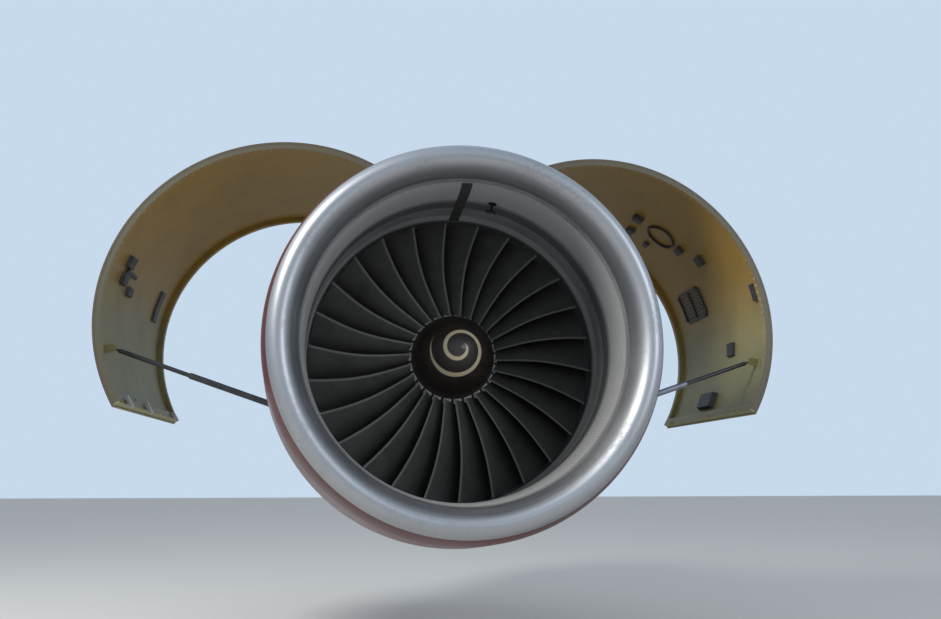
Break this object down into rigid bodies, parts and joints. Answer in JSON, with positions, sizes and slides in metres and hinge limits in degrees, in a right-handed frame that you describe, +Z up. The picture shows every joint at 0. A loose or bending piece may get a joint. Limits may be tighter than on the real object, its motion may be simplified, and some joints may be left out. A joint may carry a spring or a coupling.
{
  "type": "jet engine",
  "caption": "High-bypass turbofan aircraft engine in its nacelle, fan cowl doors propped open, with turning rotors, hold-open rods, latches and an opening thrust reverser.",
  "frame": {"origin": "centre of the front mount's top face, on the engine's middle plane", "axes": "+Y along the engine axis to the rear, the inlet faces -Y; +Z up; +X to the right as seen from the front"},
  "size_m": [6.0228, 5.999, 3.524],
  "materials": {
    "lip_metal": "polished",
    "barrel_paint": "gloss",
    "liner_grey": "satin",
    "case_grey": "satin",
    "bolt_steel": "satin",
    "blade_metal": "satin",
    "vane_metal": "satin",
    "spinner_black": "gloss",
    "hub_grey": "satin",
    "core_metal": "satin",
    "hot_metal": "satin",
    "shaft_steel": "satin",
    "gearbox_metal": "matt",
    "unit_dark": "matt",
    "box_grey": "satin",
    "pipe_steel": "satin",
    "beam_paint": "satin",
    "mount_metal": "matt",
    "door_primer": "satin",
    "rod_black": "satin",
    "rod_grey": "satin",
    "latch_metal": "satin",
    "reverser_paint": "gloss",
    "nozzle_metal": "satin"
  },
  "bodies": {
    "structure": {"inlet_lip": "lip_metal", "inlet_outer_barrel": "barrel_paint", "inlet_liner": "liner_grey", "inlet_probe": "bolt_steel", "inlet_bolts": "bolt_steel", "fan_case": "case_grey", "fan_track_liner": "liner_grey", "rear_fan_case": "case_grey", "outlet_guide_vanes": "vane_metal", "intermediate_case": "core_metal", "core_fairing": "core_metal", "compressor_case": "core_metal", "combustor_case": "hot_metal", "combustor_liner": "hot_metal", "fuel_nozzles": "pipe_steel", "turbine_case": "hot_metal", "tail_bearing_housing": "hot_metal", "front_bearings": "shaft_steel", "rear_bearings": "shaft_steel", "exhaust_mixer": "nozzle_metal", "exhaust_cone": "nozzle_metal", "common_nozzle": "nozzle_metal", "accessory_gearbox": "gearbox_metal", "starter": "gearbox_metal", "generator": "unit_dark", "gearbox_pumps": "gearbox_metal", "oil_tank": "box_grey", "engine_controller": "box_grey", "fan_case_pipes": "pipe_steel", "cowl_support_beam": "beam_paint", "front_mount": "mount_metal", "rear_mount": "mount_metal"},
    "low_pressure_rotor": {"spinner": "spinner_black", "spinner_fairing": "hub_grey", "fan_disc": "shaft_steel", "fan_blades": "blade_metal", "annulus_fillers": "hub_grey", "lp_shaft": "shaft_steel", "lp_turbine": "hot_metal"},
    "intermediate_rotor": {"ip_compressor": "core_metal", "ip_turbine": "hot_metal"},
    "high_pressure_rotor": {"high_compressor": "core_metal", "high_turbine": "hot_metal"},
    "drive_shaft": {"radial_drive_shaft": "shaft_steel"},
    "left_cowl": {"left_door": "door_primer"},
    "right_cowl": {"right_door": "door_primer"},
    "left_tube": {"left_rod_tube": "rod_black"},
    "left_inner_rod": {"left_rod": "rod_black"},
    "right_tube": {"right_rod_tube": "rod_grey"},
    "right_inner_rod": {"right_rod": "rod_black"},
    "latch_1": {"front_latch": "latch_metal"},
    "latch_2": {"middle_latch": "latch_metal"},
    "latch_3": {"rear_latch": "latch_metal"},
    "left_duct": {"left_reverser": "reverser_paint"},
    "right_duct": {"right_reverser": "reverser_paint"},
    "left_upper_blocker": {"left_upper_pivot_door": "reverser_paint"},
    "left_lower_blocker": {"left_lower_pivot_door": "reverser_paint"},
    "right_upper_blocker": {"right_upper_pivot_door": "reverser_paint"},
    "right_lower_blocker": {"right_lower_pivot_door": "reverser_paint"}
  },
  "joints": [
    {"name": "low_pressure_spin", "type": "hinge", "parent": "structure", "child": "low_pressure_rotor", "pos_m": [0, -1.4, -1.49], "axis": [0, 1, 0], "continuous": true},
    {"name": "intermediate_spin", "type": "hinge", "parent": "structure", "child": "intermediate_rotor", "pos_m": [0, 0, -1.49], "axis": [0, 1, 0], "continuous": true},
    {"name": "high_pressure_spin", "type": "hinge", "parent": "structure", "child": "high_pressure_rotor", "pos_m": [0, 0, -1.49], "axis": [0, 1, 0], "continuous": true},
    {"name": "drive_shaft_spin", "type": "hinge", "parent": "structure", "child": "drive_shaft", "pos_m": [0, -0.16, -1.7], "axis": [0, 0, -1], "continuous": true},
    {"name": "right_cowl_hinge", "type": "hinge", "parent": "structure", "child": "right_cowl", "pos_m": [0.388, 0, -0.026], "axis": [0, 1, 0], "range_deg": [0, 58.5]},
    {"name": "left_cowl_hinge", "type": "hinge", "parent": "structure", "child": "left_cowl", "pos_m": [-0.388, 0, -0.026], "axis": [0, -1, 0], "range_deg": [0, 58.5]},
    {"name": "right_rod_swing", "type": "hinge", "parent": "structure", "child": "right_tube", "pos_m": [1.36638, -1.1, -1.94453], "axis": [-0.3238, 0, 0.9461], "range_deg": [0, 88]},
    {"name": "right_rod_slide", "type": "slide", "parent": "right_tube", "child": "right_inner_rod", "axis": [-0.9461, 0, -0.3238], "range_m": [0, 0.67]},
    {"name": "left_rod_swing", "type": "hinge", "parent": "structure", "child": "left_tube", "pos_m": [-1.36638, -1.1, -1.94453], "axis": [-0.3238, 0, -0.9461], "range_deg": [0, 88]},
    {"name": "left_rod_slide", "type": "slide", "parent": "left_tube", "child": "left_inner_rod", "axis": [0.9461, 0, -0.3238], "range_m": [0, 0.67]},
    {"name": "front_latch_turn", "type": "hinge", "parent": "left_cowl", "child": "latch_1", "pos_m": [-2.78242, -1.14, -1.8734], "axis": [0, -1, 0], "range_deg": [0, 95]},
    {"name": "middle_latch_turn", "type": "hinge", "parent": "left_cowl", "child": "latch_2", "pos_m": [-2.78242, -0.54, -1.8734], "axis": [0, -1, 0], "range_deg": [0, 95]},
    {"name": "rear_latch_turn", "type": "hinge", "parent": "left_cowl", "child": "latch_3", "pos_m": [-2.78242, 0.46, -1.8734], "axis": [0, -1, 0], "range_deg": [0, 95]},
    {"name": "right_duct_hinge", "type": "hinge", "parent": "structure", "child": "right_duct", "pos_m": [0.388, 0, -0.026], "axis": [0, -1, 0], "range_deg": [0, 35]},
    {"name": "left_duct_hinge", "type": "hinge", "parent": "structure", "child": "left_duct", "pos_m": [-0.388, 0, -0.026], "axis": [0, 1, 0], "range_deg": [0, 35]},
    {"name": "right_upper_blocker_turn", "type": "hinge", "parent": "right_duct", "child": "right_upper_blocker", "pos_m": [0.94379, 1.7, -0.6402], "axis": [-0.6691, 0, 0.7431], "range_deg": [0, 35]},
    {"name": "right_lower_blocker_turn", "type": "hinge", "parent": "right_duct", "child": "right_lower_blocker", "pos_m": [0.94379, 1.7, -2.3398], "axis": [0.6691, 0, 0.7431], "range_deg": [0, 35]},
    {"name": "left_upper_blocker_turn", "type": "hinge", "parent": "left_duct", "child": "left_upper_blocker", "pos_m": [-0.94379, 1.7, -0.6402], "axis": [-0.6691, 0, -0.7431], "range_deg": [0, 35]},
    {"name": "left_lower_blocker_turn", "type": "hinge", "parent": "left_duct", "child": "left_lower_blocker", "pos_m": [-0.94379, 1.7, -2.3398], "axis": [0.6691, 0, -0.7431], "range_deg": [0, 35]}
  ],
  "couplings": [
    {"joint": "drive_shaft_spin", "follows": "high_pressure_spin", "ratio": 4.675},
    {"joint": "right_rod_swing", "follows": "right_cowl_hinge", "ratio": 1.5043},
    {"joint": "right_rod_slide", "follows": "right_cowl_hinge", "m_per_rad": 0.6562},
    {"joint": "left_rod_swing", "follows": "left_cowl_hinge", "ratio": 1.5043},
    {"joint": "left_rod_slide", "follows": "left_cowl_hinge", "m_per_rad": 0.6562}
  ]
}
